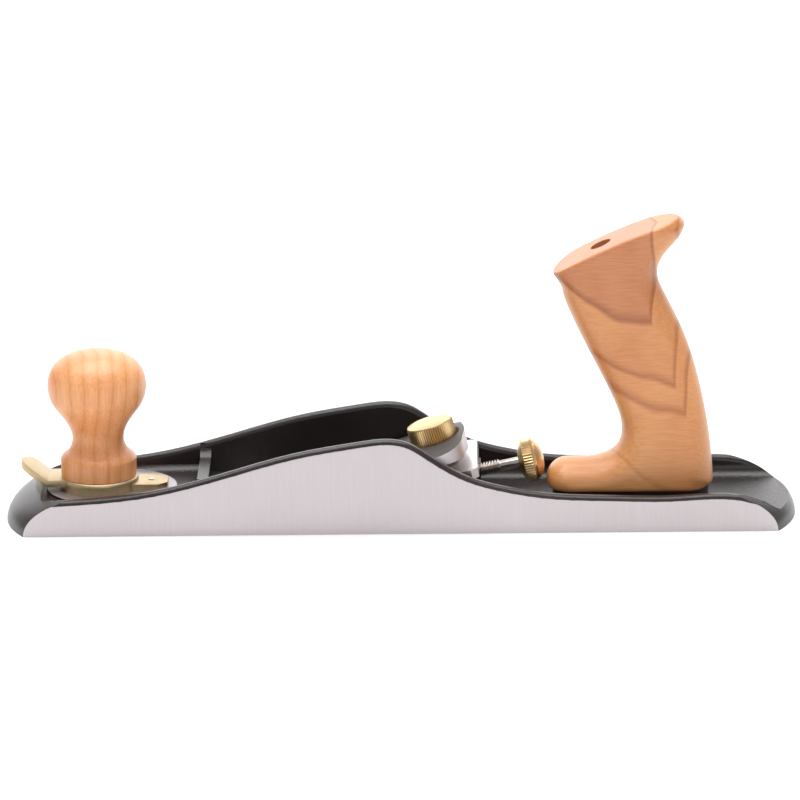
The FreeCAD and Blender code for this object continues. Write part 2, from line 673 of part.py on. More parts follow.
def cap_wheel():
    """Brass wheel: a straight knurled rim, a dished top and a hub that clears the cap."""
    radius = size("wheel_radius")
    lift = size("wheel_lift")
    tall = size("wheel_thick")
    bore = size("wheel_screw_radius")
    hub = bore + 2.4
    foot = 0.4 - size("recess_depth")
    edges = [line((bore, 0, foot), (hub, 0, foot)), line((hub, 0, foot), (hub, 0, lift)),
             line((hub, 0, lift), (radius - 0.5, 0, lift)),
             line((radius - 0.5, 0, lift), (radius, 0, lift + 0.5)),
             line((radius, 0, lift + 0.5), (radius, 0, lift + tall - 0.8)),
             line((radius, 0, lift + tall - 0.8), (radius - 0.8, 0, lift + tall)),
             spline([(radius - 0.8, 0, lift + tall), (radius * 0.55, 0, lift + tall - 0.6),
                     (0, 0, lift + tall - 0.9)], (-1, 0, -0.2), (-1, 0, 0)),
             line((0, 0, lift + tall - 0.9), (0, 0, lift + 1)), line((0, 0, lift + 1), (bore, 0, lift + 1)),
             line((bore, 0, lift + 1), (bore, 0, foot))]
    solid = Part.Face(Part.Wire(edges)).revolve(Vector(0, 0, 0), Vector(0, 0, 1), 360)
    return keep(feature("cap_wheel", solid, wheel_place()), "cap_wheel")


def cap_wheel_screw():
    """The wheel's screw, from inside the hub down to the blade."""
    tilt = math.cos(math.radians(size("cap_slope")))
    reach = (size("cap_top") - size("blade_thick")) / tilt - size("loose") - 0.35
    screw = primitive("Cylinder", "cap_wheel_screw", None, Radius="sizes.wheel_screw_radius")
    screw.Height = reach + size("wheel_lift") + 1
    screw.Placement = wheel_place().multiply(Placement(Vector(0, 0, -reach), Rotation()))
    return keep(screw, "cap_wheel_screw")


def spindle_frame(distance):
    """A frame on the adjuster's axis whose z runs back along the axis."""
    turn = Rotation(Vector(0, 1, 0), 90 - size("bed_angle"))
    return Placement(along_bed(distance, -spindle_drop()), turn)


def adjuster_spindle():
    front = size("collar_at") - size("collar_thick") / 2 - 0.8
    nose = primitive("Cylinder", "spindle_nose", spindle_frame(front), Radius="sizes.shank_radius")
    nose.Height = size("collar_thick") + 0.9
    thread = primitive("Cylinder", "spindle_thread", spindle_frame(front + size("collar_thick") + 0.9),
                       Radius="sizes.spindle_radius")
    thread.Height = size("thread_end") - front - size("collar_thick") - 0.9
    shank = primitive("Cylinder", "spindle_shank", spindle_frame(size("thread_end")),
                      Radius="sizes.shank_radius",
                      Height="sizes.dial_start - sizes.thread_end + 0.8 * sizes.dial_thick")
    front_part = boolean("Fuse", "spindle_front", nose, thread)
    whole = boolean("Fuse", "spindle_blank", front_part, shank)
    hole = primitive("Cylinder", "spindle_pin_hole", None, Radius="sizes.cross_pin_radius", Height="20")
    spot = along_bed(size("collar_at"), -spindle_drop())
    hole.Placement = Placement(spot - Vector(0, 10, 0), Rotation(Vector(1, 0, 0), -90))
    return keep(boolean("Cut", "adjuster_spindle", whole, hole), "adjuster_spindle")


def adjuster_collar():
    front = size("collar_at") - size("collar_thick") / 2
    disc = primitive("Cylinder", "collar_disc", spindle_frame(front), Radius="sizes.collar_radius",
                     Height="sizes.collar_thick")
    bore = primitive("Cylinder", "collar_bore", spindle_frame(front - 1), Radius="sizes.shank_radius",
                     Height="sizes.collar_thick + 2")
    ring = boolean("Cut", "collar_ring", disc, bore)
    hole = primitive("Cylinder", "collar_pin_hole", None, Radius="sizes.cross_pin_radius", Height="20")
    spot = along_bed(size("collar_at"), -spindle_drop())
    hole.Placement = Placement(spot - Vector(0, 10, 0), Rotation(Vector(1, 0, 0), -90))
    return keep(boolean("Cut", "adjuster_collar", ring, hole), "adjuster_collar")


def adjuster_collar_pin():
    length = 2 * size("collar_radius") - 0.8
    pin = primitive("Cylinder", "adjuster_collar_pin", None, Radius="sizes.cross_pin_radius")
    pin.Height = length
    spot = along_bed(size("collar_at"), -spindle_drop())
    pin.Placement = Placement(spot - Vector(0, length / 2, 0), Rotation(Vector(1, 0, 0), -90))
    return keep(pin, "adjuster_collar_pin")


def adjuster_knob():
    """Brass knob: a narrow knurled rim with a domed back."""
    radius = size("dial_radius")
    rim = size("dial_rim")
    tall = size("dial_thick")
    bore = size("shank_radius")
    deep = 0.8 * tall
    edges = [line((bore, 0, 0), (radius * 0.5, 0, 0)), line((radius * 0.5, 0, 0), (radius - 0.6, 0, 1.6)),
             line((radius - 0.6, 0, 1.6), (radius, 0, 2.2)), line((radius, 0, 2.2), (radius, 0, 2.2 + rim)),
             line((radius, 0, 2.2 + rim), (radius - 0.8, 0, 3.0 + rim)),
             spline([(radius - 0.8, 0, 3.0 + rim), (radius * 0.6, 0, tall - 1.0), (0, 0, tall)],
                    (-1, 0, 0.6), (-1, 0, 0)),
             line((0, 0, tall), (0, 0, deep)), line((0, 0, deep), (bore, 0, deep)),
             line((bore, 0, deep), (bore, 0, 0))]
    solid = Part.Face(Part.Wire(edges)).revolve(Vector(0, 0, 0), Vector(0, 0, 1), 360)
    return keep(feature("adjuster_knob", solid, spindle_frame(size("dial_start"))), "adjuster_knob")


def tote_outline():
    """The rear handle from the side: low toe, hollow front, swept top with a horn, long back."""
    front = size("tote_front")
    back = size("tote_back")
    seat = size("tote_seat")
    top = size("tote_top")
    toe = arc(side(front, seat), side(front + 1.5, seat + 8.6), side(front + 7.0, seat + 12.2))
    hollow = spline([side(front + 7.0, seat + 12.2), side(front + 21.7, seat + 12.9),
                     side(front + 31.8, seat + 18.6), side(front + 33.6, seat + 26.6),
                     side(front + 30.3, top - 85.9), side(front + 19.5, top - 63.5),
                     side(front + 7.1, top - 34.8), side(front + 2.6, top - 26.4)],
                    (1, 0, 0.1), (-1, 0, 1.4))
    crown = spline([side(front + 2.6, top - 26.4), side(front + 12.5, top - 19.6),
                    side(front + 23.9, top - 13.9), side(front + 41.9, top - 6.4),
                    side(back - 19.4, top - 2.0)])
    horn = arc(side(back - 19.4, top - 2.0), side(back - 15.4, top - 1.6), side(back - 13.4, top - 4.6))
    rear = spline([side(back - 13.4, top - 4.6), side(back - 18.5, top - 13.6),
                   side(back - 23.4, top - 19.5), side(back - 25.6, top - 27.0),
                   side(back - 23.0, top - 35.0), side(back - 15.0, top - 51.4),
                   side(back - 6.2, top - 79.3), side(back - 1.0, seat + 12.9), side(back - 0.4, seat + 3)])
    heel = arc(side(back - 0.4, seat + 3), side(back - 1.2, seat + 0.9), side(back - 3.4, seat))
    edges = [toe, hollow, crown, horn, rear, heel, line(side(back - 3.4, seat), side(front, seat))]
    return Part.Face(Part.Wire(edges))


def tote():
    solid = across(tote_outline(), size("tote_thick"))
    foot, up = rod_line()
    rod = Part.makeCylinder(size("nut_sleeve_radius"), 200, foot - up * 5, up)
    top = Vector(size("rod_top_at"), 0, size("rod_top"))
    sink = Part.makeCylinder(size("nut_radius") + size("running"), 40,
                             top - up * (size("nut_sunk") + size("nut_head")), up)
    dowel_foot = Vector(size("dowel_at"), 0, size("tote_seat") - size("dowel_half"))
    dowel = Part.makeCylinder(size("dowel_radius"), 2 * size("dowel_half"), dowel_foot)
    solid = solid.cut([rod, sink, dowel]).removeSplitter()
    return keep(feature("tote", solid), "tote")


def tote_rod():
    foot, up = rod_line()
    top = Vector(size("rod_top_at"), 0, size("rod_top"))
    reach = (top - foot).Length - size("nut_sunk") - size("nut_head")
    rod = primitive("Cylinder", "tote_rod", None, Radius="sizes.rod_radius")
    rod.Height = reach + size("rod_root")
    rod.Placement = Placement(foot - up * size("rod_root"), Rotation(Vector(0, 0, 1), up))
    return keep(rod, "tote_rod")


def tote_barrel_nut():
    foot, up = rod_line()
    top = Vector(size("rod_top_at"), 0, size("rod_top"))
    turn = Rotation(Vector(0, 0, 1), up)
    seat = top - up * (size("nut_sunk") + size("nut_head"))
    head = primitive("Cylinder", "nut_head", Placement(seat, turn),
                     Radius="sizes.nut_radius", Height="sizes.nut_head")
    sleeve = primitive("Cylinder", "nut_sleeve", Placement(seat - up * size("nut_sleeve"), turn),
                       Radius="sizes.nut_sleeve_radius", Height="sizes.nut_sleeve")
    bore = primitive("Cylinder", "nut_bore", Placement(seat - up * (size("nut_sleeve") + 1), turn),
                     Radius="sizes.rod_radius", Height="sizes.nut_sleeve + 1")
    slot = primitive("Box", "nut_slot", None, Length="2.4 * sizes.nut_radius",
                     Width="sizes.nut_slot_gap", Height="sizes.nut_head")
    corner = Vector(-1.2 * size("nut_radius"), -size("nut_slot_gap") / 2,
                    size("nut_head") - size("nut_slot_deep"))
    slot.Placement = Placement(seat, turn).multiply(Placement(corner, Rotation()))
    blank = boolean("Fuse", "nut_blank", head, sleeve)
    bored = boolean("Cut", "nut_bored", blank, bore)
    return keep(boolean("Cut", "tote_barrel_nut", bored, slot), "tote_barrel_nut")


def tote_dowel():
    foot = upright(size("dowel_at"), size("tote_seat") - size("dowel_half"))
    pin = primitive("Cylinder", "tote_dowel", foot,
                    Radius="sizes.dowel_radius", Height="2 * sizes.dowel_half")
    return keep(pin, "tote_dowel")


def write_pieces():
    for thing in doc.Objects:
        state = [word for word in thing.State if word in ("Invalid", "Error")]
        if state:
            raise RuntimeError("%s is %s" % (thing.Name, state))
    for piece in PIECES:
        shape = piece.Shape
        if shape.isNull() or not shape.isValid() or not shape.Solids:
            raise RuntimeError("%s has no valid solid" % piece.Label)
    os.makedirs("parts", exist_ok=True)
    for piece in PIECES:
        piece.Shape.exportStep("parts/%s.step" % piece.Label)
        print("%-22s %d solid(s) %9.1f mm3" % (piece.Label, len(piece.Shape.Solids), piece.Shape.Volume))


body_casting()
toe_plate()
knob_stud()
knob_insert()
front_knob()
mouth_lever()
lever_pivot_pin()
blade()
lever_cap()
lever_cap_screw()
cap_wheel()
cap_wheel_screw()
adjuster_spindle()
adjuster_collar()
adjuster_collar_pin()
adjuster_knob()
tote()
tote_rod()
tote_barrel_nut()
tote_dowel()
doc.recompute()
write_pieces()
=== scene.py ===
# %% [markdown]
# # A low-angle hand plane, dressed for its portrait
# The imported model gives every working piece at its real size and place. This lesson lights it
# as a small tool is lit in a white tent, gives each piece the finish of the real material, and
# models again the pieces whose edges, knurls, threads and hand-shaped wood the plain model leaves out.

# %% Load the frame
import json
import math

import bmesh
import bpy
from mathutils import Matrix, Vector


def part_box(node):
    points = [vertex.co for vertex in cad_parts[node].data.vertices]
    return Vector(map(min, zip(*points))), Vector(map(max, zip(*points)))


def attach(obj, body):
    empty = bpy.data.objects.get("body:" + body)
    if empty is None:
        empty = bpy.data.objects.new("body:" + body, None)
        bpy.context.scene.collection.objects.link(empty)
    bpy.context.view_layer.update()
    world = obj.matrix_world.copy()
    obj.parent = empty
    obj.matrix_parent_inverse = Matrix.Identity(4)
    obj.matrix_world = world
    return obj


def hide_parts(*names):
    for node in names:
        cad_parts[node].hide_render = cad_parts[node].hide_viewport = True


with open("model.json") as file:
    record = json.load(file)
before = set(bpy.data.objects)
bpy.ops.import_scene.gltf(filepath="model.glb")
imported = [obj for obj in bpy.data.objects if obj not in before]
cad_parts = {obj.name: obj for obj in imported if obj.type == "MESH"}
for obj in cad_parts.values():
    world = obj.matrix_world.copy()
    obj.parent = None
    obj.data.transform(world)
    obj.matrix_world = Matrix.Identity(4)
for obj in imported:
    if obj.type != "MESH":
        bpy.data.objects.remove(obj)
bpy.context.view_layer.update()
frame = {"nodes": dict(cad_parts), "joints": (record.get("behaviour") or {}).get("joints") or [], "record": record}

MM = 0.001
bpy.context.scene.view_settings.view_transform = "Standard"

# %% [markdown]
# Joints hold the axes of the wheels and screws, so a new wheel is placed from its joint
# and never by eye. This small table finds a joint by its name.

# %% Joint axes
joints = {joint["name"]: joint for joint in frame["joints"]}


def joint_axis(name):
    return Vector(joints[name]["axis"]).normalized()


def joint_spot(name):
    return Vector(joints[name]["pos_m"])


# %% [markdown]
# ## Camera
# The plane is seen from its left side, from about two and a half metres away and 15.5 degrees above
# the bench, through a long lens. Long lenses keep the toe and the heel at nearly the same scale,
# so the whole sole reads as one straight line. The shift lowers the tool in the picture.

# %% Camera
CAMERA_AWAY = 2.5
CAMERA_LENS = 250
CAMERA_SHIFT = 0.0334
CAMERA_AIM = Vector((0, 0, 0.040))
CAMERA_RISE = math.radians(15.524)
CAMERA_YAW = math.radians(-0.571)
CAMERA_ROLL = math.radians(-0.654)

sight = Vector((math.sin(CAMERA_YAW) * math.cos(CAMERA_RISE),
                math.cos(CAMERA_YAW) * math.cos(CAMERA_RISE), -math.sin(CAMERA_RISE)))
right = sight.cross(Vector((0, 0, 1))).normalized()
upward = right.cross(sight)
turned_right = right * math.cos(CAMERA_ROLL) + upward * math.sin(CAMERA_ROLL)
turned_up = upward * math.cos(CAMERA_ROLL) - right * math.sin(CAMERA_ROLL)
camera_data = bpy.data.cameras.new("camera")
camera_data.lens = CAMERA_LENS
camera_data.sensor_width = 36
camera_data.shift_y = CAMERA_SHIFT
camera_data.clip_start = 0.05
camera_data.clip_end = 50
camera = bpy.data.objects.new("camera", camera_data)
bpy.context.scene.collection.objects.link(camera)
turn = Matrix((turned_right, turned_up, -sight)).transposed().to_4x4()
camera.matrix_world = Matrix.Translation(CAMERA_AIM - sight * CAMERA_AWAY) @ turn
bpy.context.scene.camera = camera
print("camera stands", [round(v, 3) for v in camera.location])

# %% [markdown]
# ## Colour and material helpers
# Painters think in screen colours and Cycles in linear light, so one function turns a hex colour
# from the first to the second. One more adds a node with its settings and links, and another starts
# a material around a Principled shader, with the values that are the same all over set on its sockets.


# %% Helpers for colours and nodes
def linear(hex_colour):
    """A screen colour such as D38E5C as linear light."""
    parts = [int(hex_colour[at:at + 2], 16) / 255 for at in (0, 2, 4)]
    return tuple(v / 12.92 if v <= 0.04045 else ((v + 0.055) / 1.055) ** 2.4 for v in parts) + (1.0,)


def add_node(tree, kind, links=None, values=None, **settings):
    """Adds a node, sets its properties and sockets, and links other nodes' outputs to its inputs."""
    node = tree.nodes.new(kind)
    for name, value in settings.items():
        setattr(node, name, value)
    for socket, value in (values or {}).items():
        node.inputs[socket].default_value = value
    for socket, source in (links or {}).items():
        tree.links.new(source, node.inputs[socket])
    return node


def start_material(name, colour, roughness, metallic=0.0, **sockets):
    material = bpy.data.materials.new(name)
    material.use_nodes = True
    tree = material.node_tree
    shader = tree.nodes["Principled BSDF"]
    shader.inputs["Base Color"].default_value = linear(colour)
    shader.inputs["Roughness"].default_value = roughness
    shader.inputs["Metallic"].default_value = metallic
    for socket, value in sockets.items():
        shader.inputs[socket.replace("_", " ")].default_value = value
    return material, tree, shader


def colour_stops(tree, source, stops, interpolation="LINEAR"):
    """A colour ramp over a 0 to 1 value, from (place, hex colour) pairs."""
    ramp = add_node(tree, "ShaderNodeValToRGB", {"Fac": source})
    ramp.color_ramp.interpolation = interpolation
    while len(ramp.color_ramp.elements) < len(stops):
        ramp.color_ramp.elements.new(0.5)
    for element, (place, colour) in zip(ramp.color_ramp.elements, stops):
        element.position = place
        element.color = linear(colour)
    return ramp.outputs["Color"]


def maths(tree, operation, first, second=None, third=None):
    node = add_node(tree, "ShaderNodeMath", operation=operation)
    for socket, value in zip(node.inputs, (first, second, third)):
        if value is None:
            continue
        if isinstance(value, (int, float)):
            socket.default_value = value
        else:
            tree.links.new(value, socket)
    return node.outputs[0]


def mapped(tree, scale=(1, 1, 1), turn=(0, 0, 0), place=(0, 0, 0)):
    """Object coordinates in metres, moved by place, turned and scaled."""
    spot = add_node(tree, "ShaderNodeTexCoord").outputs["Object"]
    moved = add_node(tree, "ShaderNodeMapping", {"Vector": spot}, {"Location": place})
    spun = add_node(tree, "ShaderNodeMapping", {"Vector": moved.outputs[0]}, {"Rotation": turn})
    return add_node(tree, "ShaderNodeMapping", {"Vector": spun.outputs[0]}, {"Scale": scale}).outputs[0]


def noise(tree, vector, per_metre, detail=3.0, roughness=0.5):
    node = add_node(tree, "ShaderNodeTexNoise", {"Vector": vector},
                    {"Scale": per_metre, "Detail": detail, "Roughness": roughness})
    return node.outputs["Fac"]


def bump(tree, shader, height, depth, strength=1.0):
    node = add_node(tree, "ShaderNodeBump", {"Height": height}, {"Strength": strength, "Distance": depth})
    tree.links.new(node.outputs[0], shader.inputs["Normal"])


# %% [markdown]
# ## Cast iron, half enamelled and half ground
# The body is one iron casting. Inside and on its rims it is stoved with black enamel over the
# sand-cast skin, so it is dark, a little glossy and faintly pebbled, with a pebble about 0.8 mm across.
# The sides, the sole and the round seat under the knob are then surface-ground to bare iron,
# pale and soft-sheened with fine lines across the way the wheel went. One material holds both,
# because a mask from the place and the facing of the surface says which skin is there.


# %% Casting material
SQUARE_ON = 0.97
SEAT_AHEAD = 5.8 * MM
SEAT_REACH = 29.3 * MM
PEBBLE_DEPTH = 0.22 * MM


def ground_mask(tree, spot, place, facing):
    """One where the casting was ground to bare iron: both sides, the sole and the seat under the knob."""
    half_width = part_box("body_casting")[1].y
    from_middle = maths(tree, "ABSOLUTE", place["Y"])
    sideways = maths(tree, "ABSOLUTE", facing["Y"])
    on_side = maths(tree, "MULTIPLY", maths(tree, "GREATER_THAN", from_middle, half_width - 0.03 * MM),
                    maths(tree, "GREATER_THAN", sideways, SQUARE_ON))
    on_sole = maths(tree, "MULTIPLY", maths(tree, "LESS_THAN", place["Z"], 0.05 * MM),
                    maths(tree, "LESS_THAN", facing["Z"], -SQUARE_ON))
    seat_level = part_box("mouth_lever")[0].z
    from_seat = maths(tree, "ABSOLUTE", maths(tree, "SUBTRACT", place["Z"], seat_level - 0.05 * MM))
    stud_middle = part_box("knob_stud")[0].lerp(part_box("knob_stud")[1], 0.5)
    away = add_node(tree, "ShaderNodeVectorMath", {0: spot},
                    {1: (stud_middle.x + SEAT_AHEAD, 0, seat_level)}, operation="DISTANCE").outputs["Value"]
    at_level = maths(tree, "MULTIPLY", maths(tree, "LESS_THAN", from_seat, 0.1 * MM),
                     maths(tree, "GREATER_THAN", facing["Z"], SQUARE_ON))
    on_seat = maths(tree, "MULTIPLY", at_level, maths(tree, "LESS_THAN", away, SEAT_REACH))
    return maths(tree, "MAXIMUM", maths(tree, "MAXIMUM", on_side, on_sole), on_seat)


def casting_material():
    material, tree, shader = start_material("black_enamel_over_sand_cast_iron_with_ground_faces",
                                            "191517", 0.34)
    spot = add_node(tree, "ShaderNodeTexCoord").outputs["Object"]
    place = add_node(tree, "ShaderNodeSeparateXYZ", {"Vector": spot}).outputs
    normal = add_node(tree, "ShaderNodeNewGeometry").outputs["Normal"]
    facing = add_node(tree, "ShaderNodeSeparateXYZ", {"Vector": normal}).outputs
    ground = ground_mask(tree, spot, place, facing)
    streaks = noise(tree, mapped(tree, scale=(900, 60, 60)), 1.0, 4.0)
    clouds = noise(tree, mapped(tree), 25.0, 2.0)
    iron = colour_stops(tree, maths(tree, "MULTIPLY_ADD", streaks, 0.5, maths(tree, "MULTIPLY", clouds, 0.5)),
                        [(0.25, "B9B2B4"), (0.75, "C2BCBE")])
    enamel = colour_stops(tree, clouds, [(0.3, "1C1616"), (0.7, "2A2221")])
    blend = add_node(tree, "ShaderNodeMix", {0: ground, 6: enamel, 7: iron}, data_type="RGBA")
    tree.links.new(blend.outputs[2], shader.inputs["Base Color"])
    tree.links.new(ground, shader.inputs["Metallic"])
    rough = maths(tree, "MULTIPLY_ADD", ground, 0.14, maths(tree, "MULTIPLY_ADD", clouds, 0.08, 0.28))
    tree.links.new(rough, shader.inputs["Roughness"])
    # the floors between the walls keep a coarser sand-cast skin than the walls do
    level = maths(tree, "GREATER_THAN", facing["Z"], 0.9)
    low_down = maths(tree, "LESS_THAN", place["Z"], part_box("mouth_lever")[0].z)
    coarseness = maths(tree, "MULTIPLY_ADD", maths(tree, "MULTIPLY", level, low_down), 3.0, 0.9)
    pebble = maths(tree, "MULTIPLY", noise(tree, mapped(tree), 800.0, 3.0), coarseness)
    skin = maths(tree, "MULTIPLY", pebble, maths(tree, "SUBTRACT", 1.0, ground))
    lines = maths(tree, "MULTIPLY", streaks, maths(tree, "MULTIPLY", ground, 0.06))
    bump(tree, shader, maths(tree, "ADD", skin, lines), PEBBLE_DEPTH, 0.55)
    return material


# %% [markdown]
# ## Bare metals
# Ground iron, lapped tool steel, turned steel and two brasses differ in colour, in how rough the last
# tool left them and in which way its marks run. One function makes them all, with the marks as a
# noise that is stretched along the way the tool went.


# %% Bare metal materials
def metal_material(name, colour, deep, roughness, marks=(60, 900, 60), mark_depth=0.006, patches=30.0):
    material, tree, shader = start_material(name, colour, roughness, 1.0)
    lines = noise(tree, mapped(tree, scale=marks), 1.0, 4.0)
    cloud = noise(tree, mapped(tree), patches, 3.0)
    both = maths(tree, "MULTIPLY_ADD", lines, 0.5, maths(tree, "MULTIPLY", cloud, 0.5))
    tree.links.new(colour_stops(tree, both, [(0.3, deep), (0.65, colour)]), shader.inputs["Base Color"])
    tree.links.new(maths(tree, "MULTIPLY_ADD", both, 0.16, roughness - 0.08), shader.inputs["Roughness"])
    bump(tree, shader, lines, mark_depth * MM, 0.6)
    return material


# %% [markdown]
# ## The lever cap's finish
# The cap's crowned top is stoved grey. Its edges were ground afterwards, so they are bright bare iron.
# A face is an edge where it leans away from the axis of the wheel, which stands square to the top.


# %% Lever cap material
EDGE_LEAN = 0.80


def cap_material():
    material, tree, shader = start_material("grey_enamelled_iron_with_ground_edges", "3C3736", 0.5)
    normal = add_node(tree, "ShaderNodeNewGeometry").outputs["Normal"]
    upright = add_node(tree, "ShaderNodeVectorMath", {0: normal},
                       {1: tuple(joint_axis("cap_wheel_turn"))}, operation="DOT_PRODUCT")
    edge = maths(tree, "LESS_THAN", upright.outputs["Value"], EDGE_LEAN)
    tree.links.new(edge, shader.inputs["Metallic"])
    colour = add_node(tree, "ShaderNodeMix", {0: edge}, {6: linear("3C3736"), 7: linear("CFC9CA")},
                      data_type="RGBA")
    tree.links.new(colour.outputs[2], shader.inputs["Base Color"])
    bump(tree, shader, noise(tree, mapped(tree), 1500.0, 2.0), 0.03 * MM, 0.5)
    return material


enamelled_iron = casting_material()
cap_enamel = cap_material()
ground_iron = metal_material("surface_ground_cast_iron", "CFCACB", "B9B4B5", 0.42, (900, 60, 60))
lapped_steel = metal_material("lapped_tool_steel", "D8D2D0", "C4BEBC", 0.30, (60, 900, 60))
turned_steel = metal_material("turned_bright_steel", "C9C2BC", "A9A19A", 0.24, (500, 500, 500), 0.004)
satin_brass = metal_material("satin_cast_brass", "C4B08C", "B09C78", 0.40, (400, 60, 400))
bright_brass = metal_material("polished_turned_brass", "DCBF90", "D0AE7C", 0.34, (300, 300, 300), 0.003)

# %% [markdown]
# ## Oiled cherry
# Cherry is a warm pink-orange hardwood with thin darker lines where each year's growth stopped,
# and short fine flecks along the grain. Two rules give the two figures that are seen here.
# A turned knob cut well away from the heart of the log shows its years as upright streaks.
# The flat cheek of the handle meets the years at a glance, so they show as nested pointed arches
# that open upwards, with a darker heart above the first of them.


# %% Wood materials
YEAR_WIDTH = 6.4 * MM
ARCH_LEAN = 0.357
ARCH_FOOT = 145 * MM
ARCH_HALF_WIDTH = 27 * MM
ARCH_SPAN = 180
ARCH_BELOW = 40
# height of each arch's point in mm, then the colours under, on and above its line
ARCH_LINES = [(4, "E0A068", "D2915C", "E0A068"), (48, "DF9F67", "BC7A4B", "DA9962"),
              (62, "DA9962", "B97649", "D4935E"), (90, "D6955F", "A86842", "C78558")]


def wood_finish(material, tree, shader, growth, fleck_scale, fleck_share):
    """Flecks, slow stains and the oil's soft sheen over a growth pattern."""
    flecks = noise(tree, mapped(tree, scale=fleck_scale), 1.0, 3.0, 0.6)
    tint = colour_stops(tree, flecks, [(0.38, "D8BFA8"), (0.6, "FFFFFF")])
    stain = noise(tree, mapped(tree), 30.0, 2.0)
    warm = colour_stops(tree, stain, [(0.3, "EEDCCB"), (0.7, "FFFFFF")])
    colour = growth
    for share, layer in ((fleck_share, tint), (0.8, warm)):
        mix = add_node(tree, "ShaderNodeMix", {6: colour, 7: layer}, {0: share},
                       data_type="RGBA", blend_type="MULTIPLY")
        colour = mix.outputs[2]
    tree.links.new(colour, shader.inputs["Base Color"])
    tree.links.new(maths(tree, "MULTIPLY_ADD", flecks, 0.14, 0.33), shader.inputs["Roughness"])
    bump(tree, shader, flecks, 0.015 * MM, 0.4)
    return material


def turned_cherry():
    material, tree, shader = start_material("oiled_turned_cherry", "EAA669", 0.38,
                                            Coat_Weight=0.12, Coat_Roughness=0.25)
    place = mapped(tree)
    sway = noise(tree, place, 22.0, 1.5)
    across = add_node(tree, "ShaderNodeSeparateXYZ", {"Vector": place}).outputs
    # the years lie across X, lean a little with height and curve a little with depth
    lean = maths(tree, "MULTIPLY_ADD", across["Z"], -0.04, across["X"])
    curve = maths(tree, "MULTIPLY_ADD", across["Y"], 0.20, lean)
    swayed = maths(tree, "MULTIPLY_ADD", sway, 9 * MM, curve)
    years = maths(tree, "FRACT", maths(tree, "DIVIDE", maths(tree, "ADD", swayed, 1.0), YEAR_WIDTH))
    growth = colour_stops(tree, years, [(0.0, "DB985F"), (0.10, "E6A26A"), (0.45, "EDAE7C"),
                                        (0.86, "E8A56D"), (1.0, "DB985F")])
    return wood_finish(material, tree, shader, growth, (1300, 1300, 60), 0.35)


def arched_cherry():
    material, tree, shader = start_material("oiled_shaped_cherry", "D9975E", 0.38,
                                            Coat_Weight=0.12, Coat_Roughness=0.25)
    place = mapped(tree)
    spot = add_node(tree, "ShaderNodeSeparateXYZ", {"Vector": place}).outputs
    # the arches' points stand on a line that leans forward as it rises
    line = maths(tree, "MULTIPLY_ADD", spot["Z"], -ARCH_LEAN, ARCH_FOOT)
    left = maths(tree, "SUBTRACT", line, spot["X"])
    before = maths(tree, "MAXIMUM", left, 0.0)
    behind = maths(tree, "MAXIMUM", maths(tree, "MULTIPLY", left, -1.0), 0.0)
    rise = maths(tree, "POWER", maths(tree, "DIVIDE", before, ARCH_HALF_WIDTH), 3.0)
    arch = maths(tree, "MULTIPLY_ADD", rise, 9 * MM, maths(tree, "MULTIPLY", before, 0.1))
    drop = maths(tree, "MULTIPLY", behind, 1 / ARCH_LEAN)
    level = maths(tree, "SUBTRACT", maths(tree, "SUBTRACT", spot["Z"], arch), drop)
    deep = maths(tree, "MULTIPLY_ADD", maths(tree, "ABSOLUTE", spot["Y"]), -0.5, level)
    wavy = maths(tree, "MULTIPLY_ADD", noise(tree, place, 45.0, 1.0), 9 * MM, deep)
    share = maths(tree, "DIVIDE", maths(tree, "ADD", wavy, ARCH_BELOW * MM), ARCH_SPAN * MM)
    stops = [(0.0, "DE9E65")]
    for height, before_line, line_colour, after_line in ARCH_LINES:
        at = (height + ARCH_BELOW - 2) / ARCH_SPAN
        stops += [(at - 0.012, before_line), (at - 0.001, line_colour), (at + 0.003, line_colour),
                  (at + 0.024, after_line)]
    growth = colour_stops(tree, share, stops + [(1.0, "C68456")])
    return wood_finish(material, tree, shader, growth, (110, 800, 1300), 0.30)


knob_cherry = turned_cherry()
tote_cherry = arched_cherry()

# %% [markdown]
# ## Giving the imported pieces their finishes
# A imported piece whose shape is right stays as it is, and only its material slots change.

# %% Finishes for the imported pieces
FINISHES = {
    "body_casting": enamelled_iron, "toe_plate": ground_iron, "knob_stud": turned_steel,
    "front_knob": knob_cherry, "knob_insert": satin_brass, "mouth_lever": satin_brass,
    "lever_pivot_pin": turned_steel, "blade": lapped_steel,
    "lever_cap": cap_enamel, "lever_cap_screw": turned_steel, "cap_wheel": bright_brass,
    "cap_wheel_screw": turned_steel, "adjuster_spindle": turned_steel, "adjuster_collar": turned_steel,
    "adjuster_collar_pin": turned_steel, "adjuster_knob": bright_brass, "tote": tote_cherry,
    "tote_rod": turned_steel, "tote_barrel_nut": satin_brass, "tote_dowel": turned_steel,
}
for node, material in FINISHES.items():
    thing = frame["nodes"][node]
    thing.data.materials.clear()
    thing.data.materials.append(material)
print("finished", len(FINISHES), "packed pieces")


# %% [markdown]
# ## Making pieces again
# Three ways cover them all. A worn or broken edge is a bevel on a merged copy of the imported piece.
# A turned piece grows ring by ring from one circle. A hand-shaped piece starts as a fine-grained
# block that is then drawn in towards its edges.


# %% Helpers for pieces
def drop_selection():
    if bpy.context.object and bpy.context.object.mode != "OBJECT":
        bpy.ops.object.mode_set(mode="OBJECT")
    bpy.ops.object.select_all(action="DESELECT")


def take(thing):
    drop_selection()
    thing.select_set(True)
    bpy.context.view_layer.objects.active = thing


def apply_modifier(thing, kind, **settings):
    take(thing)
    modifier = thing.modifiers.new(kind.lower(), kind)
    for name, value in settings.items():
        setattr(modifier, name, value)
    bpy.ops.object.modifier_apply(modifier=modifier.name)


def smooth(thing, degrees=35):
    take(thing)
    bpy.ops.object.shade_smooth_by_angle(angle=math.radians(degrees))


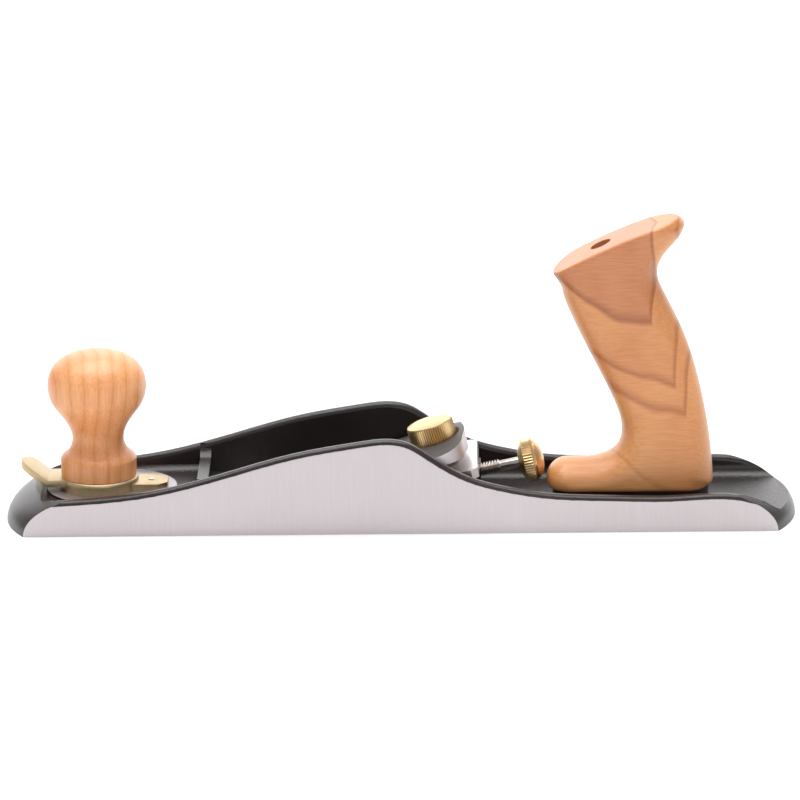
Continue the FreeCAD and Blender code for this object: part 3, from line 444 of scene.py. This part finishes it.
def merged_copy(node, name):
    """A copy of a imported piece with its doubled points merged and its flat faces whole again."""
    source = frame["nodes"][node]
    take(source)
    bpy.ops.object.duplicate()
    copy = bpy.context.object
    copy.name = name
    bpy.ops.object.transform_apply(location=True, rotation=True, scale=True)
    bpy.ops.object.mode_set(mode="EDIT")
    bpy.ops.mesh.select_all(action="SELECT")
    bpy.ops.mesh.remove_doubles(threshold=0.002 * MM)
    bpy.ops.mesh.dissolve_limited(angle_limit=math.radians(0.5))
    bpy.ops.mesh.normals_make_consistent(inside=False)
    bpy.ops.object.mode_set(mode="OBJECT")
    return copy


def stand_in(thing, node, material):
    """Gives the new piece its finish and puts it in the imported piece's place on its body."""
    thing.data.materials.clear()
    thing.data.materials.append(material)
    bodies = frame["record"]["behaviour"]["bodies"]
    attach(thing, next(body for body, nodes in bodies.items() if node in nodes))
    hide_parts(node)
    print(thing.name, "stands in for", node, "with", len(thing.data.polygons), "faces")


def softened(node, name, material, width, segments=3, degrees=30):
    """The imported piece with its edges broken."""
    piece = merged_copy(node, name)
    apply_modifier(piece, "BEVEL", width=width, segments=segments, limit_method="ANGLE",
                   angle_limit=math.radians(degrees), harden_normals=False)
    smooth(piece)
    stand_in(piece, node, material)
    return piece


def turned(name, rings, segments):
    """A closed turned piece on the Z axis: one circle, extruded through (radius, height) rings."""
    drop_selection()
    radius, height = rings[0]
    bpy.ops.mesh.primitive_circle_add(vertices=segments, radius=radius, fill_type="NGON",
                                      location=(0, 0, height))
    piece = bpy.context.object
    piece.name = name
    bpy.ops.object.transform_apply(location=True, rotation=True, scale=True)
    bpy.ops.object.mode_set(mode="EDIT")
    bpy.ops.mesh.select_all(action="SELECT")
    for ring_radius, ring_height in rings[1:]:
        bpy.ops.mesh.extrude_region_move(TRANSFORM_OT_translate={"value": (0, 0, ring_height - height)})
        bpy.ops.transform.resize(value=(ring_radius / radius, ring_radius / radius, 1),
                                 center_override=(0, 0, 0))
        radius, height = ring_radius, ring_height
    bpy.ops.mesh.select_all(action="SELECT")
    bpy.ops.mesh.normals_make_consistent(inside=False)
    bpy.ops.object.mode_set(mode="OBJECT")
    return piece


def along_axis(node, joint):
    """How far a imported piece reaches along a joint's axis, and its greatest radius round it."""
    axis = joint_axis(joint)
    spot = joint_spot(joint)
    thing = frame["nodes"][node]
    offsets = [thing.matrix_world @ vertex.co - spot for vertex in thing.data.vertices]
    reach = [offset.dot(axis) for offset in offsets]
    radius = max((offset - axis * offset.dot(axis)).length for offset in offsets)
    return min(reach), max(reach), radius


def on_joint(thing, joint):
    """Moves a piece from the Z axis to a joint's axis."""
    turn = joint_axis(joint).to_track_quat("Z", "Y").to_matrix().to_4x4()
    thing.matrix_world = Matrix.Translation(joint_spot(joint)) @ turn
    take(thing)
    bpy.ops.object.transform_apply(location=True, rotation=True, scale=True)


def knurl(piece, low, high, outside, depth):
    """Straight knurl: every other column of points between two heights is drawn in."""
    near = 0.001 * MM
    take(piece)
    bpy.ops.object.mode_set(mode="EDIT")
    bpy.ops.mesh.select_all(action="DESELECT")
    mesh = bmesh.from_edit_mesh(piece.data)
    columns = sum(1 for vertex in mesh.verts if abs(vertex.co.z - low) < near)
    for vertex in mesh.verts:
        if low - near < vertex.co.z < high + near:
            column = round(math.atan2(vertex.co.y, vertex.co.x) / math.tau * columns)
            vertex.select = column % 2 == 1
    mesh.select_flush_mode()
    bmesh.update_edit_mesh(piece.data)
    narrower = 1 - depth / outside
    bpy.ops.transform.resize(value=(narrower, narrower, 1), center_override=(0, 0, 0))
    bpy.ops.object.mode_set(mode="OBJECT")


# %% [markdown]
# ## Cap wheel
# The brass wheel that clamps the lever cap: a thick disc with a straight knurl of 64 teeth,
# chamfered above and below, and a face turned to a shallow dome with a soft shoulder.


# %% Cap wheel
WHEEL_TEETH = 64
KNURL_DEPTH = 0.5 * MM


def cap_wheel():
    low, high, radius = along_axis("cap_wheel", "cap_wheel_turn")
    shoulder = high - 1.3 * MM
    knurl_low, knurl_high = low + 0.9 * MM, shoulder - 0.35 * MM
    rings = [(radius - 1.3 * MM, low), (radius - 0.6 * MM, low + 0.25 * MM), (radius, knurl_low),
             (radius, knurl_high), (radius - 0.45 * MM, shoulder + 0.15 * MM)]
    for share in (0.96, 0.9, 0.8, 0.65, 0.45, 0.2):
        rings.append((radius * share, high - (high - shoulder - 0.3 * MM) * share ** 3.2))
    piece = turned("cap_wheel_knurled", rings, 2 * WHEEL_TEETH)
    knurl(piece, knurl_low, knurl_high, radius, KNURL_DEPTH)
    smooth(piece, 28)
    on_joint(piece, "cap_wheel_turn")
    stand_in(piece, "cap_wheel", bright_brass)


cap_wheel()


# %% [markdown]
# ## Adjuster knob and screw
# The depth adjuster's knob has a cone towards the screw, a knurled rim and a rounded end.
# Its steel screw is threaded where it enters the blade's post and plain up to the knob.


# %% Adjuster knob
DIAL_TEETH = 48


def adjuster_knob():
    low, high, radius = along_axis("adjuster_knob", "adjuster_turn")
    length = high - low
    rim_low, rim_high = low + 0.22 * length, low + 0.62 * length
    knurl_low, knurl_high = rim_low + 0.04 * length, rim_high - 0.03 * length
    rings = [(0.52 * radius, low), (0.62 * radius, low + 0.05 * length),
             (0.86 * radius, rim_low - 0.06 * length), (0.95 * radius, rim_low - 0.01 * length),
             (radius, knurl_low), (radius, knurl_high), (0.94 * radius, rim_high + 0.01 * length)]
    for share in (0.9, 0.82, 0.7, 0.55, 0.38, 0.18):
        rings.append((radius * share, high - (high - rim_high - 0.02 * length) * share ** 2.6))
    piece = turned("adjuster_knob_knurled", rings, 2 * DIAL_TEETH)
    knurl(piece, knurl_low, knurl_high, radius, KNURL_DEPTH)
    smooth(piece, 28)
    on_joint(piece, "adjuster_turn")
    stand_in(piece, "adjuster_knob", bright_brass)


adjuster_knob()


# %% Adjuster screw
THREAD_PITCH = 1.27 * MM


def adjuster_screw():
    low, high, radius = along_axis("adjuster_spindle", "adjuster_turn")
    spot, axis = joint_spot("adjuster_turn"), joint_axis("adjuster_turn")
    offsets = [vertex.co - spot for vertex in frame["nodes"]["adjuster_spindle"].data.vertices]
    places = [(offset.dot(axis), (offset - axis * offset.dot(axis)).length) for offset in offsets]
    thick = [reach for reach, away in places if away > 0.95 * radius]
    thread_low, thread_high = min(thick), max(thick)
    thin = min(away for reach, away in places if reach > high - 0.1 * MM and away > 1 * MM)
    print("thread", round((thread_high - thread_low) / MM, 1), "mm long, shank", round(thin / MM, 2), "mm")
    root = radius - 0.7 * THREAD_PITCH
    rings = [(root, thread_low)]
    at = thread_low + 0.3 * THREAD_PITCH
    while at + 0.7 * THREAD_PITCH < thread_high:
        rings += [(root, at), (radius, at + 0.40 * THREAD_PITCH), (radius, at + 0.52 * THREAD_PITCH),
                  (root, at + 0.92 * THREAD_PITCH)]
        at += THREAD_PITCH
    rings += [(root, thread_high), (thin, thread_high + 0.2 * MM), (thin, high)]
    if low < thread_low - 0.2 * MM:
        rings = [(thin, low), (thin, thread_low - 0.1 * MM)] + rings
    piece = turned("adjuster_screw_threaded", rings, 32)
    smooth(piece, 30)
    on_joint(piece, "adjuster_turn")
    stand_in(piece, "adjuster_spindle", turned_steel)


adjuster_screw()

# %% [markdown]
# ## Cap, lever and toe plate with broken edges
# No edge on a finished tool is sharp except the cutting edge. The cap's edges are broken widely,
# the lever's less, and the toe plate's only enough to catch the light.

# %% Softened pieces
softened("lever_cap", "lever_cap_softened", cap_enamel, 0.5 * MM)
softened("mouth_lever", "mouth_lever_softened", satin_brass, 0.4 * MM)
softened("toe_plate", "toe_plate_softened", ground_iron, 0.15 * MM, 1)


# %% [markdown]
# ## The rear handle
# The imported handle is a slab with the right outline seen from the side. The real one is worked with
# rasps until its front and back are round and only its cheeks stay flat. The same rule shapes it here:
# every point nearer to the outline than the rounding is drawn in to a squarish oval section, while the
# seat on the casting and the flat top stay flat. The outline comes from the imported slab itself.


# %% Rear handle
TOTE_ROUNDING = 12 * MM
TOTE_CROWN_ROUNDING = 17 * MM
TOTE_WAIST = 0.10
TOTE_POWER = 2.2
CROWN_DEPTH = 28 * MM
HORN_LENGTH = 16 * MM
BORE_PLAY = 0.05 * MM


def held(share):
    """A share kept between nothing and all."""
    return max(0.0, min(1.0, share))


def slab_without_holes(node, name):
    """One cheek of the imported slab, extruded again to its full thickness: a plain block with no holes."""
    piece = merged_copy(node, name)
    cheek = min(vertex.co.y for vertex in piece.data.vertices)
    bpy.ops.object.mode_set(mode="EDIT")
    bpy.ops.mesh.select_mode(type="FACE")
    mesh = bmesh.from_edit_mesh(piece.data)
    for face in mesh.faces:
        face.select = not all(abs(vertex.co.y - cheek) < 0.01 * MM for vertex in face.verts)
    mesh.select_flush_mode()
    bmesh.update_edit_mesh(piece.data)
    bpy.ops.mesh.delete(type="FACE")
    bpy.ops.mesh.select_mode(type="VERT")
    bpy.ops.mesh.select_all(action="SELECT")
    bpy.ops.mesh.extrude_region_move(TRANSFORM_OT_translate={"value": (0, -2 * cheek, 0)})
    bpy.ops.mesh.select_all(action="SELECT")
    bpy.ops.mesh.normals_make_consistent(inside=False)
    bpy.ops.object.mode_set(mode="OBJECT")
    return piece, -cheek


def distance_to_sides(sides, spot):
    """How far a spot is from the nearest of these (x, z) sides."""
    best = 1.0
    for first, second in sides:
        along = second - first
        share = held((spot - first).dot(along) / along.length_squared)
        best = min(best, (spot - first - along * share).length)
    return best


def rounded_outline(piece, half, low, high):
    """The sides of the slab's outline that are rasped round: all but the seat and the flat crown."""
    sides = []
    for edge in piece.data.edges:
        first, second = (piece.data.vertices[index].co for index in edge.vertices)
        if first.y > 0.01 * MM - half or second.y > 0.01 * MM - half:
            continue
        first, second = Vector((first.x, first.z)), Vector((second.x, second.z))
        middle, along = (first + second) / 2, (second - first).normalized()
        on_seat = middle.y < low.z + 0.1 * MM
        level = abs(along.x) > 0.75
        on_crown = middle.y > high.z - CROWN_DEPTH and level and middle.x < high.x - HORN_LENGTH
        if not on_seat and not on_crown:
            sides.append((first, second))
    print("rounding the handle along", len(sides), "sides of its outline")
    return sides


def shaped_tote():
    piece, half = slab_without_holes("tote", "tote_shaped")
    low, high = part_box("tote")
    sides = rounded_outline(piece, half, low, high)
    apply_modifier(piece, "REMESH", mode="VOXEL", voxel_size=0.9 * MM)
    widths = {}
    for vertex in piece.data.vertices:
        spot = Vector((vertex.co.x, vertex.co.z))
        key = (round(spot.x, 6), round(spot.y, 6))
        if key not in widths:
            near_crown = held((spot.y - high.z + 45 * MM) / (35 * MM))
            rounding = TOTE_ROUNDING + (TOTE_CROWN_ROUNDING - TOTE_ROUNDING) * near_crown
            inward = max(0.0, 1 - distance_to_sides(sides, spot) / rounding)
            up_share = held((spot.y - low.z - 12 * MM) / (high.z - low.z - 24 * MM))
            waist = 1 - TOTE_WAIST * math.sin(math.pi * up_share)
            widths[key] = (1 - inward ** TOTE_POWER) ** (1 / TOTE_POWER) * waist
        vertex.co.y *= widths[key]
    apply_modifier(piece, "REMESH", mode="VOXEL", voxel_size=0.7 * MM)
    apply_modifier(piece, "SMOOTH", factor=0.5, iterations=6)
    return piece


def middle_of(points):
    return sum(points, Vector()) / len(points)


def bore_tote(piece):
    """The counterbore for the barrel nut and the hole for the rod under it."""
    nut = frame["nodes"]["tote_barrel_nut"]
    rod = [vertex.co for vertex in frame["nodes"]["tote_rod"].data.vertices]
    lowest, highest = min(point.z for point in rod), max(point.z for point in rod)
    foot = middle_of([point for point in rod if point.z < lowest + 2 * MM])
    head = middle_of([point for point in rod if point.z > highest - 2 * MM])
    up = (head - foot).normalized()
    offsets = [vertex.co - foot for vertex in nut.data.vertices]
    places = [(offset.dot(up), (offset - up * offset.dot(up)).length) for offset in offsets]
    bottom = min(reach for reach, away in places)
    radius = max(away for reach, away in places)
    sleeve = max(away for reach, away in places if reach < bottom + 1 * MM) + BORE_PLAY
    wide = [reach for reach, away in places if away > 0.97 * radius]
    radius += BORE_PLAY
    cutter = turned("tote_bore", [(sleeve, -10 * MM), (sleeve, min(wide)), (radius, min(wide)),
                                  (radius, max(wide) + 40 * MM)], 64)
    turn = up.to_track_quat("Z", "Y").to_matrix().to_4x4()
    cutter.matrix_world = Matrix.Translation(foot) @ turn
    take(cutter)
    bpy.ops.object.transform_apply(location=True, rotation=True, scale=True)
    apply_modifier(piece, "BOOLEAN", operation="DIFFERENCE", object=cutter, solver="EXACT")
    bpy.data.objects.remove(cutter)


handle = shaped_tote()
bore_tote(handle)
smooth(handle, 40)
stand_in(handle, "tote", tote_cherry)


# %% [markdown]
# ## Light and floor
# The tool stands in a white tent. Most of the light falls from a wide panel overhead, so upward faces
# are about twice as bright as upright ones. A bright wall behind is what the black enamel and the
# metal rims mirror at a low angle, and a weak panel in front fills the side that is seen.
# The floor is plain and nearly white, as a sweep of paper is.


# %% Light and floor
WORLD_LIGHT = 0.5
TOP_LIGHT = 4.4
BACK_LIGHT = 1.6
FRONT_LIGHT = 1.3


def soft_light(name, place, aim, wide, tall, brightness):
    """A rectangular panel whose brightness is given as radiance, so its size can change freely."""
    data = bpy.data.lights.new(name, "AREA")
    data.shape = "RECTANGLE"
    data.size = wide
    data.size_y = tall
    data.energy = brightness * math.pi * wide * tall
    lamp = bpy.data.objects.new(name, data)
    bpy.context.scene.collection.objects.link(lamp)
    lamp.location = place
    lamp.rotation_euler = (Vector(aim) - Vector(place)).to_track_quat("-Z", "Y").to_euler()


world = bpy.data.worlds.new("tent")
world.use_nodes = True
background = world.node_tree.nodes["Background"]
background.inputs["Color"].default_value = (1, 1, 1, 1)
background.inputs["Strength"].default_value = WORLD_LIGHT
bpy.context.scene.world = world
soft_light("top_panel", (-0.1, 0.1, 1.5), (0, 0, 0.04), 1.5, 1.5, TOP_LIGHT)
soft_light("back_wall", (0, 2.2, 0.8), (0, 0, 0.2), 4.0, 1.6, BACK_LIGHT)
soft_light("front_panel", (0.5, -1.7, 0.4), (0, 0, 0.06), 1.0, 0.7, FRONT_LIGHT)

bpy.ops.mesh.primitive_plane_add(size=8)
floor = bpy.context.object
floor.name = "floor"
floor.data.materials.append(start_material("white_paper_sweep", "FFFFFF", 0.9)[0])
